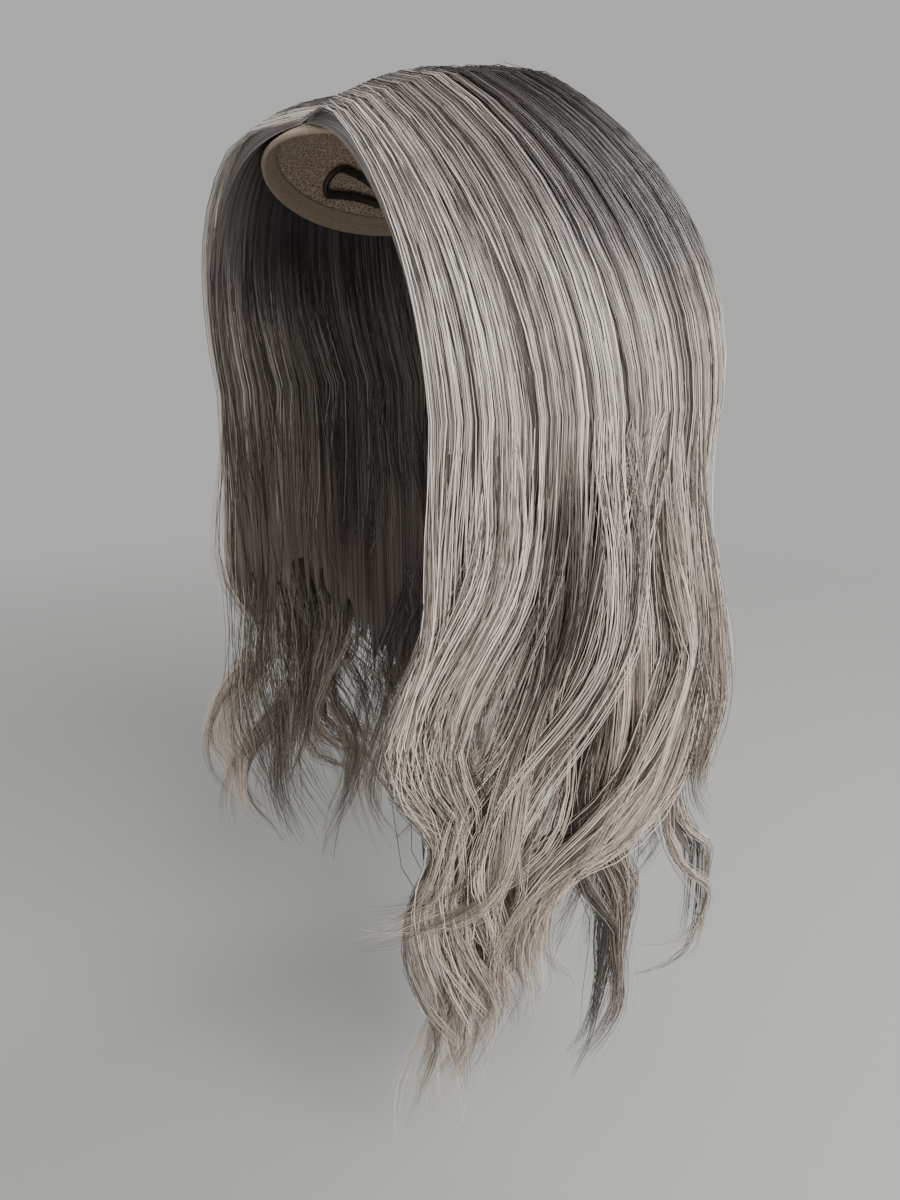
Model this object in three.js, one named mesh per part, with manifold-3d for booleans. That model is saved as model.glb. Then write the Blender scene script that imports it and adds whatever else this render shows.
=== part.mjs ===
// Hair topper: a domed base with snap clips, and long waved hair falling either side of a centre parting.
// Millimetres, +Z up. The origin is the top of the head under the base, the face looks along -Y,
// and the wearer's left is +X.

import * as THREE from 'three';
import { mergeVertices } from 'three/addons/utils/BufferGeometryUtils.js';
import Module from 'manifold-3d';

const wasm = await Module();
wasm.setup();

// Driving dimensions
const HEAD = { x: 82, y: 102, z: 106 };
const BASE = { halfWidth: 62, front: -57, back: 75, wall: 1.2, rings: 6, sectors: 32 };
const CLIP = { wideRadius: 6, narrowRadius: 3.2, length: 34, frame: 2.4, thick: 1.4, gap: 0.55, arcSteps: 9 };
const PARTING = { halfGap: 1.6, front: -54, back: 40, innerOffset: 1.7, outerOffset: 3.4, riseEnd: 0.28 };
const COMB = { across: 0.8, along: 0.4, height: 0.6 };
const WALL = {
  innerOffset: 2.8, innerShare: 0.3, swellFrom: 0.2, swellTo: 0.9, rib: 2.2,
  hemDrop: 168, hemThick: 3, columns: 20, arcRows: 8, hangRows: 3,
};
const LOCK = {
  startDrop: 104, startShare: 0.55, sides: 6, rings: 10, underRings: 4, tip: 0.07, taperShare: 0.5, taperPower: 0.7,
};
const RULED = {
  falls: 5, firstDrop: 138, tipSpread: 18, spreadStep: 3, swayStep: 1.7, swing: 6, swingStep: 1.9,
  startShare: 0.75, underShare: 0.35, settleFalls: 2, drawIn: 14, lastAzimuth: 178,
};
const SPLIT_GAP = 0.35;

// How far the hair stands off the head, at the crown and at ear height, by azimuth from the face
const LEFT_LIFTS = [
  { azimuth: 40, crown: 14, ear: 12 },
  { azimuth: 75, crown: 15, ear: 20 },
  { azimuth: 105, crown: 15, ear: 28 },
  { azimuth: 135, crown: 22, ear: 34 },
  { azimuth: 180, crown: 27, ear: 29 },
];
const RIGHT_LIFTS = [
  { azimuth: 40, crown: 9, ear: 5 },
  { azimuth: 75, crown: 11, ear: 8 },
  { azimuth: 105, crown: 14, ear: 17 },
  { azimuth: 135, crown: 22, ear: 28 },
  { azimuth: 180, crown: 27, ear: 29 },
];

// A bend of a lock: azimuth from the face, drop below the crown, reach from the head's upright axis
const bend = (azimuth, drop, reach) => ({ azimuth, drop, reach });

// Locks that show bends of their own
const LEFT_LOCKS = {
  faceWave: {
    width: 28, thick: 12,
    bends: [
      bend(52, 130, 97), bend(52, 163, 99), bend(50, 183, 103), bend(45, 201, 109),
      bend(42, 216, 112), bend(46, 236, 106), bend(51, 255, 101), bend(51, 279, 97),
      bend(48, 305, 93), bend(47, 338, 88), bend(50, 374, 83), bend(42, 405, 79),
    ],
  },
  cheekWave: {
    width: 32, thick: 13,
    bends: [
      bend(64, 130, 101), bend(59, 160, 105), bend(52, 185, 110), bend(47, 205, 113),
      bend(47, 222, 111), bend(51, 244, 105), bend(56, 268, 100), bend(55, 296, 95),
      bend(53, 327, 91), bend(55, 362, 86), bend(50, 392, 81),
    ],
  },
  templeSweep: {
    width: 28, thick: 12,
    bends: [
      bend(74, 135, 101), bend(71, 165, 102), bend(67, 196, 105), bend(64, 221, 108), bend(58, 243, 108),
      bend(51, 263, 106), bend(43, 278, 103), bend(34, 289, 101), bend(26, 290, 101),
    ],
  },
  earSweep: {
    width: 26, thick: 13,
    bends: [
      bend(89, 128, 110), bend(83, 158, 112), bend(77, 184, 114), bend(70, 203, 114), bend(63, 225, 112),
      bend(58, 250, 108), bend(55, 279, 102), bend(57, 310, 97), bend(61, 342, 92), bend(57, 372, 87),
    ],
  },
  middleWave: {
    width: 25, thick: 12,
    bends: [
      bend(84, 132, 104), bend(83, 158, 106), bend(85, 180, 110), bend(85, 202, 112), bend(82, 224, 112),
      bend(77, 244, 110), bend(72, 270, 106), bend(71, 303, 101), bend(76, 337, 95),
    ],
  },
  sideRoll: {
    width: 32, thick: 14,
    bends: [
      bend(97, 129, 114), bend(97, 165, 118), bend(97, 191, 122), bend(91, 211, 124), bend(85, 232, 121),
      bend(77, 248, 116), bend(70, 265, 110), bend(66, 291, 104), bend(64, 322, 98), bend(62, 356, 92),
    ],
  },
  napeLock: {
    width: 28, thick: 14,
    bends: [
      bend(92, 147, 104), bend(84, 192, 106), bend(79, 236, 107), bend(81, 266, 108),
      bend(88, 303, 108), bend(94, 340, 104), bend(94, 368, 97), bend(90, 390, 88),
    ],
  },
  backFlick: {
    width: 26, thick: 11,
    bends: [
      bend(107, 131, 115), bend(104, 174, 122), bend(98, 212, 127), bend(91, 233, 132), bend(99, 256, 137),
    ],
  },
  sideCurl: {
    width: 18, thick: 9,
    bends: [
      bend(105, 146, 114), bend(101, 202, 119), bend(95, 251, 121), bend(106, 292, 127),
      bend(113, 322, 130), bend(104, 327, 128), bend(94, 322, 122), bend(89, 318, 118),
    ],
  },
};
const RIGHT_LOCKS = {
  faceCurl: {
    width: 28, thick: 11,
    bends: [
      bend(67, 130, 91), bend(73, 190, 98), bend(86, 245, 108),
      bend(71, 285, 117), bend(74, 325, 112), bend(80, 345, 106),
    ],
  },
  cheekCurl: {
    width: 28, thick: 11,
    bends: [
      bend(79, 130, 92), bend(87, 200, 99), bend(98, 262, 109),
      bend(77, 310, 115), bend(70, 335, 111),
    ],
  },
  earCurl: {
    width: 30, thick: 12,
    bends: [
      bend(91, 130, 96), bend(100, 215, 102), bend(104, 272, 107),
      bend(80, 320, 111), bend(89, 357, 103),
    ],
  },
  longLock: {
    width: 30, thick: 13,
    bends: [
      bend(103, 135, 102), bend(104, 215, 103), bend(106, 275, 101),
      bend(109, 335, 99), bend(103, 382, 97),
    ],
  },
};

// Locks that follow a rule, a row for each group: azimuth and reach go from first to last
const LOCK_GROUPS = [
  {
    sign: 1, count: 5, firstAzimuth: 120, lastAzimuth: 174, firstReach: 120, lastReach: 128,
    firstTip: 262, lastTip: 372, sway: 10, width: 34, thick: 15, under: false,
  },
  {
    sign: -1, count: 6, firstAzimuth: 113, lastAzimuth: 174, firstReach: 112, lastReach: 128,
    firstTip: 366, lastTip: 366, sway: 10, width: 34, thick: 15, under: false,
  },
  {
    sign: 1, count: 7, firstAzimuth: 60, lastAzimuth: 175, firstReach: 97, lastReach: 115,
    firstTip: 334, lastTip: 300, sway: 6, width: 44, thick: 10, under: true,
  },
  {
    sign: -1, count: 6, firstAzimuth: 72, lastAzimuth: 175, firstReach: 92, lastReach: 115,
    firstTip: 330, lastTip: 330, sway: 6, width: 44, thick: 10, under: true,
  },
];

const SIDES = [
  { name: 'hair_left', sign: 1, frontAzimuth: 45, lifts: LEFT_LIFTS, locks: LEFT_LOCKS },
  { name: 'hair_right', sign: -1, frontAzimuth: 62, lifts: RIGHT_LIFTS, locks: RIGHT_LOCKS },
];

// Clips: plan position of the middle and turn about +Z
const CLIPS = [
  { name: 'clip_front', x: 0, y: -34, turn: 0 },
  { name: 'clip_left', x: 48, y: 12, turn: Math.PI / 2 },
  { name: 'clip_right', x: -48, y: 12, turn: Math.PI / 2 },
  { name: 'clip_back', x: 0, y: 62, turn: Math.PI },
];

const BASE_FINISH = new THREE.MeshStandardMaterial({ name: 'lace_base', color: 0xcdb79c, roughness: 0.85 });
const CLIP_FINISH = new THREE.MeshStandardMaterial({
  name: 'clip_steel', color: 0x6f6c6a, roughness: 0.35, metalness: 1,
});
const HAIR_FINISH = new THREE.MeshStandardMaterial({ name: 'hair', color: 0x91877f, roughness: 0.5 });

const radians = THREE.MathUtils.degToRad;
const { lerp, smoothstep } = THREE.MathUtils;

// A point of the head's ellipsoid in a given direction, raised by an offset
function overHead(direction, offset) {
  return new THREE.Vector3(
    direction.x * (HEAD.x + offset),
    direction.y * (HEAD.y + offset),
    direction.z * (HEAD.z + offset) - HEAD.z,
  );
}

// The direction from the head's centre to the crown point above a plan position
function crownDirection(x, y) {
  const across = x / HEAD.x;
  const along = y / HEAD.y;
  return new THREE.Vector3(across, along, Math.sqrt(1 - across * across - along * along));
}

// The direction to the widest line of the head at an azimuth from the face
function earDirection(azimuth, sign) {
  const angle = radians(azimuth);
  return new THREE.Vector3(sign * Math.sin(angle) / HEAD.x, -Math.cos(angle) / HEAD.y, 0).normalize();
}

// The head's own reach from its upright axis at an azimuth, on its widest line
function headReach(azimuth) {
  const angle = radians(azimuth);
  return 1 / Math.hypot(Math.sin(angle) / HEAD.x, Math.cos(angle) / HEAD.y);
}

// The lifts of a side at an azimuth, read between the rows of its table
function liftsAt(azimuth, { lifts }) {
  let row = 0;
  while (row < lifts.length - 2 && azimuth > lifts[row + 1].azimuth) row += 1;
  const from = lifts[row];
  const to = lifts[row + 1];
  const share = (azimuth - from.azimuth) / (to.azimuth - from.azimuth);
  return { crown: lerp(from.crown, to.crown, share), ear: lerp(from.ear, to.ear, share) };
}

// The faces between rings of points that have the same count
function sideFaces(rings) {
  const count = rings[0].length;
  const faces = [];
  for (let ring = 0; ring < rings.length - 1; ring += 1) {
    for (let i = 0; i < count; i += 1) {
      const a = ring * count + i;
      const b = ring * count + (i + 1) % count;
      faces.push(a, b, b + count, a, b + count, a + count);
    }
  }
  return faces;
}

function geometryFrom(points, faces) {
  const geometry = new THREE.BufferGeometry().setFromPoints(points);
  geometry.setIndex(faces);
  return geometry;
}

// Solids for joining and cutting
function toSolid(geometry) {
  const plain = geometry.clone();
  plain.deleteAttribute('normal');
  plain.deleteAttribute('uv');
  const merged = mergeVertices(plain, 1e-4);
  return new wasm.Manifold(new wasm.Mesh({
    numProp: 3,
    vertProperties: new Float32Array(merged.attributes.position.array),
    triVerts: new Uint32Array(merged.index.array),
  }));
}

function fromSolid(solid) {
  const mesh = solid.getMesh();
  const geometry = new THREE.BufferGeometry();
  geometry.setAttribute('position', new THREE.BufferAttribute(new Float32Array(mesh.vertProperties), 3));
  geometry.setIndex(new THREE.BufferAttribute(new Uint32Array(mesh.triVerts), 1));
  return geometry;
}

// The base: a thin dome with an oval rim
function baseGeometry() {
  const middle = (BASE.front + BASE.back) / 2;
  const halfLength = (BASE.back - BASE.front) / 2;
  const skin = (offset) => {
    const points = [overHead(crownDirection(0, middle), offset)];
    for (let ring = 1; ring <= BASE.rings; ring += 1) {
      const size = ring / BASE.rings;
      for (let sector = 0; sector < BASE.sectors; sector += 1) {
        const turn = 2 * Math.PI * sector / BASE.sectors;
        const x = BASE.halfWidth * size * Math.cos(turn);
        const y = middle + halfLength * size * Math.sin(turn);
        points.push(overHead(crownDirection(x, y), offset));
      }
    }
    return points;
  };
  const outer = skin(BASE.wall);
  const inner = skin(0);
  const shift = outer.length;
  const at = (ring, sector) => 1 + (ring - 1) * BASE.sectors + sector % BASE.sectors;
  const faces = [];
  const panel = (a, b, c) => faces.push(a, b, c, a + shift, c + shift, b + shift);
  for (let sector = 0; sector < BASE.sectors; sector += 1) {
    panel(0, at(1, sector), at(1, sector + 1));
    for (let ring = 1; ring < BASE.rings; ring += 1) {
      panel(at(ring, sector), at(ring + 1, sector), at(ring + 1, sector + 1));
      panel(at(ring, sector), at(ring + 1, sector + 1), at(ring, sector + 1));
    }
    const a = at(BASE.rings, sector);
    const b = at(BASE.rings, sector + 1);
    faces.push(a, a + shift, b + shift, a, b + shift, b);
  }
  return geometryFrom([...outer, ...inner], faces);
}

// A snap clip: a teardrop frame bent to lie under the base, centred on a plan position and turned about +Z
function teardrop(path, inset) {
  const reach = CLIP.length / 2;
  const wide = CLIP.wideRadius - inset;
  const narrow = CLIP.narrowRadius - inset;
  const wideX = -reach + CLIP.wideRadius;
  const narrowX = reach - CLIP.narrowRadius;
  const lean = Math.acos((wide - narrow) / (narrowX - wideX));
  path.absarc(wideX, 0, wide, lean, 2 * Math.PI - lean, false);
  path.absarc(narrowX, 0, narrow, -lean, lean, false);
  path.closePath();
  return path;
}

function clipGeometry({ x, y, turn }) {
  const outline = teardrop(new THREE.Shape(), 0);
  outline.holes.push(teardrop(new THREE.Path(), CLIP.frame));
  const geometry = new THREE.ExtrudeGeometry(outline, {
    depth: CLIP.thick, bevelEnabled: false, curveSegments: CLIP.arcSteps,
  });
  const position = geometry.attributes.position;
  for (let i = 0; i < position.count; i += 1) {
    const along = position.getX(i);
    const across = position.getY(i);
    const planX = x + along * Math.cos(turn) - across * Math.sin(turn);
    const planY = y + along * Math.sin(turn) + across * Math.cos(turn);
    const depth = CLIP.gap + CLIP.thick - position.getZ(i);
    const point = overHead(crownDirection(planX, planY), -depth);
    position.setXYZ(i, point.x, point.y, point.z);
  }
  return geometry;
}

// The way hair is combed from the parting to ear height, as a direction from the head's centre
function combedDirection(azimuth, side, t) {
  const share = (azimuth - side.frontAzimuth) / (180 - side.frontAzimuth);
  const root = crownDirection(side.sign * PARTING.halfGap, lerp(PARTING.front, PARTING.back, share));
  const ear = earDirection(azimuth, side.sign);
  const turn = new THREE.Vector3(COMB.across * ear.x, lerp(root.y, ear.y, COMB.along), COMB.height);
  turn.normalize();
  const direction = root.multiplyScalar((1 - t) * (1 - t));
  direction.addScaledVector(turn, 2 * t * (1 - t));
  direction.addScaledVector(ear, t * t);
  return direction.normalize();
}

// One column of the combed wall: its outer and inner points from the parting to the hem
function wallColumn(index, side) {
  const azimuth = lerp(side.frontAzimuth, 180, index / WALL.columns);
  const rib = WALL.rib * (index % 2 - 0.5);
  const { crown, ear } = liftsAt(azimuth, side);
  const innerEnd = WALL.innerOffset + WALL.innerShare * (ear - side.lifts[0].ear);
  const outer = [];
  const inner = [];
  for (let row = 0; row <= WALL.arcRows; row += 1) {
    const t = row / WALL.arcRows;
    const rise = smoothstep(t, 0, PARTING.riseEnd);
    const swell = lerp(crown, ear, smoothstep(t, WALL.swellFrom, WALL.swellTo));
    const direction = combedDirection(azimuth, side, t);
    outer.push(overHead(direction, lerp(PARTING.outerOffset, swell + rib, rise)));
    inner.push(overHead(direction, lerp(PARTING.innerOffset, lerp(WALL.innerOffset, innerEnd, t), rise)));
  }
  const earOuter = outer[WALL.arcRows];
  const earInner = inner[WALL.arcRows];
  for (let row = 1; row <= WALL.hangRows; row += 1) {
    const share = row / WALL.hangRows;
    const z = lerp(-HEAD.z, -WALL.hemDrop, share);
    const outPoint = earOuter.clone().setZ(z);
    const inPoint = earInner.clone().setZ(z);
    const thin = 0.5 * share ** 3 * (1 - WALL.hemThick / outPoint.distanceTo(inPoint));
    outer.push(outPoint.clone().lerp(inPoint, thin));
    inner.push(inPoint.clone().lerp(outPoint, thin));
  }
  const points = [...outer, ...inner.reverse()];
  for (const point of points) point.x = side.sign * Math.max(side.sign * point.x, SPLIT_GAP);
  return points;
}

// One half of the combed wall: columns from the front edge to the middle of the back
function wallGeometry(side) {
  const rings = Array.from({ length: WALL.columns + 1 }, (_, index) => wallColumn(index, side));
  if (side.sign < 0) rings.reverse();
  const faces = sideFaces(rings);
  const count = rings[0].length;
  const last = (rings.length - 1) * count;
  for (let i = 0; i < count / 2 - 1; i += 1) {
    const far = count - 1 - i;
    faces.push(i, far - 1, i + 1, i, far, far - 1);
    faces.push(last + i, last + i + 1, last + far - 1, last + i, last + far - 1, last + far);
  }
  return geometryFrom(rings.flat(), faces);
}

// A point at an azimuth from the face, a drop below the crown and a reach from the head's axis
function hangPoint({ azimuth, drop, reach }, sign) {
  const angle = radians(azimuth);
  return new THREE.Vector3(sign * reach * Math.sin(angle), -reach * Math.cos(angle), -drop);
}

// Where a lock leaves the wall: inside it, above ear height
function lockStart(azimuth, side) {
  const lift = liftsAt(azimuth, side).ear;
  const height = (HEAD.z - LOCK.startDrop) / (HEAD.z + lift);
  const ear = earDirection(azimuth, side.sign).multiplyScalar(Math.sqrt(1 - height * height));
  ear.z = height;
  return overHead(ear, lift * LOCK.startShare);
}

// A lock: a flattened tapering bundle along its bends
function lockGeometry(lock, side) {
  const ringCount = lock.under ? LOCK.underRings : LOCK.rings;
  const points = lock.bends.map((row) => hangPoint(row, side.sign));
  const start = lockStart(lock.bends[0].azimuth, side);
  const curve = new THREE.CatmullRomCurve3([start, ...points], false, 'centripetal');
  const rings = [];
  for (let ring = 0; ring <= ringCount; ring += 1) {
    const t = ring / ringCount;
    const centre = curve.getPointAt(t);
    const along = curve.getTangentAt(t);
    const out = new THREE.Vector3(centre.x, centre.y, 0).normalize();
    const across = new THREE.Vector3().crossVectors(out, along).normalize();
    out.crossVectors(along, across).normalize();
    const taper = Math.max(LOCK.tip, Math.min(1, (1 - t) / LOCK.taperShare) ** LOCK.taperPower);
    const section = [];
    for (let i = 0; i < LOCK.sides; i += 1) {
      const turn = 2 * Math.PI * i / LOCK.sides;
      const point = centre.clone();
      point.addScaledVector(across, 0.5 * lock.width * taper * Math.cos(turn));
      point.addScaledVector(out, 0.5 * lock.thick * taper * Math.sin(turn));
      section.push(point);
    }
    rings.push(section);
  }
  const faces = sideFaces(rings);
  const last = ringCount * LOCK.sides;
  for (let i = 1; i < LOCK.sides - 1; i += 1) {
    faces.push(0, i + 1, i, last, last + i, last + i + 1);
  }
  return geometryFrom(rings.flat(), faces);
}

// The bends of a lock that follows a rule: it sways to and fro as it falls
function ruledLock(group, index, side) {
  const place = index / (group.count - 1);
  const azimuth = lerp(group.firstAzimuth, group.lastAzimuth, place);
  const fullReach = lerp(group.firstReach, group.lastReach, place);
  const way = index % 2 === 0 ? 1 : -1;
  const tip = lerp(group.firstTip, group.lastTip, place) + RULED.tipSpread * way * Math.cos(RULED.spreadStep * index);
  const startShare = group.under ? RULED.underShare : RULED.startShare;
  const startReach = headReach(azimuth) + liftsAt(azimuth, side).ear * startShare;
  const bends = [];
  for (let fall = 0; fall <= RULED.falls; fall += 1) {
    const share = fall / RULED.falls;
    const settle = Math.min(1, fall / RULED.settleFalls);
    const sway = group.sway * way * settle * Math.sin(RULED.swayStep * fall + index);
    const swing = RULED.swing * Math.sin(RULED.swingStep * fall + 2 * index);
    const reach = lerp(startReach, fullReach + swing, settle) - RULED.drawIn * share ** 3;
    bends.push(bend(Math.min(azimuth + sway, RULED.lastAzimuth), lerp(RULED.firstDrop, tip, share), reach));
  }
  return { width: group.width, thick: group.thick, under: group.under, bends };
}

// One half of the hair: wall and locks fused, and kept to its own side of the middle plane
function hairGeometry(side) {
  const locks = Object.values(side.locks);
  for (const group of LOCK_GROUPS.filter((row) => row.sign === side.sign)) {
    for (let index = 0; index < group.count; index += 1) locks.push(ruledLock(group, index, side));
  }
  let solid = toSolid(wallGeometry(side));
  for (const lock of locks) solid = solid.add(toSolid(lockGeometry(lock, side)));
  const room = new THREE.BoxGeometry(4 * HEAD.x, 8 * HEAD.y, 12 * HEAD.z);
  room.translate(side.sign * (2 * HEAD.x + SPLIT_GAP), 0, 0);
  solid = solid.intersect(toSolid(room));
  const bodies = solid.decompose().sort((a, b) => b.volume() - a.volume());
  return fromSolid(bodies[0]);
}

function mesh(name, geometry, material) {
  const piece = new THREE.Mesh(geometry, material);
  piece.name = name;
  return piece;
}

const topper = new THREE.Group();
topper.add(mesh('base_cap', baseGeometry(), BASE_FINISH));
for (const side of SIDES) topper.add(mesh(side.name, hairGeometry(side), HAIR_FINISH));
for (const clip of CLIPS) topper.add(mesh(clip.name, clipGeometry(clip), CLIP_FINISH));

export default topper;
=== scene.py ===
# Hair topper: a lace base with snap clips under it, and long waved ash-grey hair either side of a parting.
import math

import bmesh
import bpy
import numpy as np
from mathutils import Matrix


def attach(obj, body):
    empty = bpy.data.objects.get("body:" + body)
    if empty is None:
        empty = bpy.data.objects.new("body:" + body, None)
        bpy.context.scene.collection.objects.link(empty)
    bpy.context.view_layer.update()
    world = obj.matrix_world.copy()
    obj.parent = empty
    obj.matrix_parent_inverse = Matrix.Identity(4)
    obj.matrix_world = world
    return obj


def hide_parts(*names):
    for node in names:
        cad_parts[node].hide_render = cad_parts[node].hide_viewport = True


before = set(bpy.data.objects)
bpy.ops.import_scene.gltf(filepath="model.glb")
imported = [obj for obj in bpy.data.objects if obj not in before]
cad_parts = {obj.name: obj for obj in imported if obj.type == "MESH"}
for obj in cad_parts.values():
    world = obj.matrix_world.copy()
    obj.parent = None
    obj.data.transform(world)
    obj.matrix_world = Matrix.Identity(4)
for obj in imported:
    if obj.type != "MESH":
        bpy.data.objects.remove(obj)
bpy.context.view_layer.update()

# Stage: a plain pale floor below the hanging hair, which fades out into an even grey surround,
# one large soft light from the face side, a weaker one from behind, and the camera.
FLOOR_HEIGHT = -0.436
FLOOR_RADIUS = 1.6
FLOOR_SECTORS = 96
FLOOR_FADE_FROM = 0.55
FLOOR_FADE_TO = 1.35
FLOOR_COLOUR = (0.42, 0.42, 0.41, 1)
FLOOR_ROUGHNESS = 0.8
SURROUND_COLOUR = (0.60, 0.60, 0.59, 1)
SURROUND_STRENGTH = 0.83
LIGHTS = (
    dict(name="face_side_light", place=(1.15, -0.3, 0.55), size=0.9, power=29),
    dict(name="back_light", place=(0.3, 1.2, 0.8), size=0.8, power=9),
)
CAMERA_PLACE = (0.254, -0.263, -0.079)
CAMERA_AZIMUTH = 42
CAMERA_PITCH = -17.5
CAMERA_LENS = 26
CAMERA_SENSOR = 36
CAMERA_NEAREST = 0.01


def new_object(name, mesh):
    piece = bpy.data.objects.new(name, mesh)
    bpy.context.scene.collection.objects.link(piece)
    return piece


def new_material(name):
    material = bpy.data.materials.new(name)
    material.use_nodes = True
    tree = material.node_tree
    return material, tree, tree.nodes["Principled BSDF"]


def ramp_node(tree, factor, stops):
    node = tree.nodes.new("ShaderNodeValToRGB")
    elements = node.color_ramp.elements
    while len(elements) < len(stops):
        elements.new(0.5)
    for element, (place, colour) in zip(elements, stops):
        element.position = place
        element.color = (*colour, 1)
    tree.links.new(factor, node.inputs["Fac"])
    return node.outputs["Color"]


def floor_mesh():
    mesh = bpy.data.meshes.new("floor")
    turns = np.linspace(0, 2 * math.pi, FLOOR_SECTORS, endpoint=False)
    rim = [(FLOOR_RADIUS * math.cos(a), FLOOR_RADIUS * math.sin(a), FLOOR_HEIGHT) for a in turns]
    mesh.from_pydata(rim, [], [tuple(range(len(rim)))])
    return mesh


def floor_material():
    material, tree, shader = new_material("pale_floor")
    shader.inputs["Base Color"].default_value = FLOOR_COLOUR
    shader.inputs["Roughness"].default_value = FLOOR_ROUGHNESS
    place = tree.nodes.new("ShaderNodeTexCoord")
    length = tree.nodes.new("ShaderNodeVectorMath")
    length.operation = "LENGTH"
    tree.links.new(place.outputs["Object"], length.inputs[0])
    fade = tree.nodes.new("ShaderNodeMapRange")
    fade.interpolation_type = "SMOOTHSTEP"
    fade.inputs["From Min"].default_value = FLOOR_FADE_FROM
    fade.inputs["From Max"].default_value = FLOOR_FADE_TO
    fade.inputs["To Min"].default_value = 1
    fade.inputs["To Max"].default_value = 0
    tree.links.new(length.outputs["Value"], fade.inputs["Value"])
    tree.links.new(fade.outputs["Result"], shader.inputs["Alpha"])
    return material


floor = new_object("floor", floor_mesh())
floor.data.materials.append(floor_material())

world = bpy.data.worlds.new("surround")
world.use_nodes = True
surround = world.node_tree.nodes["Background"]
surround.inputs["Color"].default_value = SURROUND_COLOUR
surround.inputs["Strength"].default_value = SURROUND_STRENGTH
bpy.context.scene.world = world

for row in LIGHTS:
    lamp = bpy.data.lights.new(row["name"], "AREA")
    lamp.size = row["size"]
    lamp.energy = row["power"]
    light = bpy.data.objects.new(row["name"], lamp)
    light.location = row["place"]
    light.rotation_euler = (-light.location).to_track_quat("-Z", "Y").to_euler()
    bpy.context.scene.collection.objects.link(light)

camera = bpy.data.objects.new("camera", bpy.data.cameras.new("camera"))
camera.data.lens = CAMERA_LENS
camera.data.sensor_width = CAMERA_SENSOR
camera.data.clip_start = CAMERA_NEAREST
camera.location = CAMERA_PLACE
camera.rotation_euler = (math.radians(90 + CAMERA_PITCH), 0, math.radians(CAMERA_AZIMUTH))
bpy.context.scene.collection.objects.link(camera)
bpy.context.scene.camera = camera

# Base: a thin dome of beige net that is worn on the crown and carries the hair.
# Its rim is bound with a folded tape that is sewn down all round.
# The net shows along the parting and from inside.
MM = 0.001
CROWN_FORM = np.array([82.0, 102.0, 106.0])
BASE_HALF_WIDTH = 62.0
BASE_FRONT = -57.0
BASE_BACK = 75.0
BASE_WALL = 1.2
BASE_RINGS = 26
BASE_SECTORS = 96
NET_CELLS = 620
NET_THREAD = (0.66, 0.53, 0.40)
NET_HOLE = (0.30, 0.22, 0.16)
NET_THREAD_EDGES = (0.03, 0.16)
NET_ROUGHNESS = 0.85
NET_BUMP = (0.5, 0.0004)
TAPE_WIDTH = 5.0
TAPE_OVER = 0.35
TAPE_FOLD = 0.4
TAPE_EDGE = 0.1
TAPE_TURN = (0.1, 0.2)
TAPE_SAMPLES = 180
TAPE_STOPS = ((0.3, (0.33, 0.255, 0.19)), (0.7, (0.48, 0.38, 0.29)))
TAPE_WEAVE_SCALE = 1400
TAPE_WEAVE_DETAIL = 3
TAPE_ROUGHNESS = 0.9
TAPE_BUMP = (0.4, 0.0002)
STITCH_COUNT = 112
STITCH_LENGTH = 2.6
STITCH_RADIUS = 0.16
STITCH_SIDES = 6
THREAD_COLOUR = (0.33, 0.26, 0.20, 1)
THREAD_ROUGHNESS = 0.6


def over_crown(direction, offset):
    point = direction * (CROWN_FORM + np.asarray(offset, float)[..., None])
    point[..., 2] -= CROWN_FORM[2]
    return point


def crown_direction(x, y):
    across = np.asarray(x, float) / CROWN_FORM[0]
    along = np.asarray(y, float) / CROWN_FORM[1]
    height = np.sqrt(np.maximum(1 - across**2 - along**2, 0))
    return np.stack(np.broadcast_arrays(across, along, height), -1)


def base_plan(size, turn, inset=0.0):
    middle = (BASE_FRONT + BASE_BACK) / 2
    half_length = (BASE_BACK - BASE_FRONT) / 2
    x = (BASE_HALF_WIDTH * size - inset) * np.cos(turn)
    y = middle + (half_length * size - inset) * np.sin(turn)
    return x, y


def ring_faces(rings, sides, closed):
    faces = []
    for ring in range(rings if closed else rings - 1):
        a = ring * sides
        b = (ring + 1) % rings * sides
        for i in range(sides):
            n = (i + 1) % sides
            faces.append((a + i, a + n, b + n, b + i))
    return faces


def closed_mesh(name, points, faces):
    mesh = bpy.data.meshes.new(name)
    mesh.from_pydata((np.asarray(points) * MM).tolist(), [], faces)
    work = bmesh.new()
    work.from_mesh(mesh)
    bmesh.ops.recalc_face_normals(work, faces=work.faces)
    work.to_mesh(mesh)
    work.free()
    mesh.shade_smooth()
    return mesh


def finish_piece(piece, slot, *nodes):
    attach(piece, "root")
    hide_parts(*nodes)


def base_mesh():
    turn = np.linspace(0, 2 * math.pi, BASE_SECTORS, endpoint=False)[None, :]
    size = np.linspace(0, 1, BASE_RINGS + 1)[1:, None]
    direction = crown_direction(*base_plan(size, turn))
    outer = over_crown(direction, np.full(direction.shape[:2], BASE_WALL))
    inner = over_crown(direction, np.zeros(direction.shape[:2]))
    rings = np.concatenate([outer, inner[::-1]])
    faces = ring_faces(len(rings), BASE_SECTORS, False)
    last = (len(rings) - 1) * BASE_SECTORS
    faces.append(tuple(range(BASE_SECTORS)))
    faces.append(tuple(last + i for i in range(BASE_SECTORS)))
    return closed_mesh("lace_base", rings.reshape(-1, 3), faces)


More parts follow.
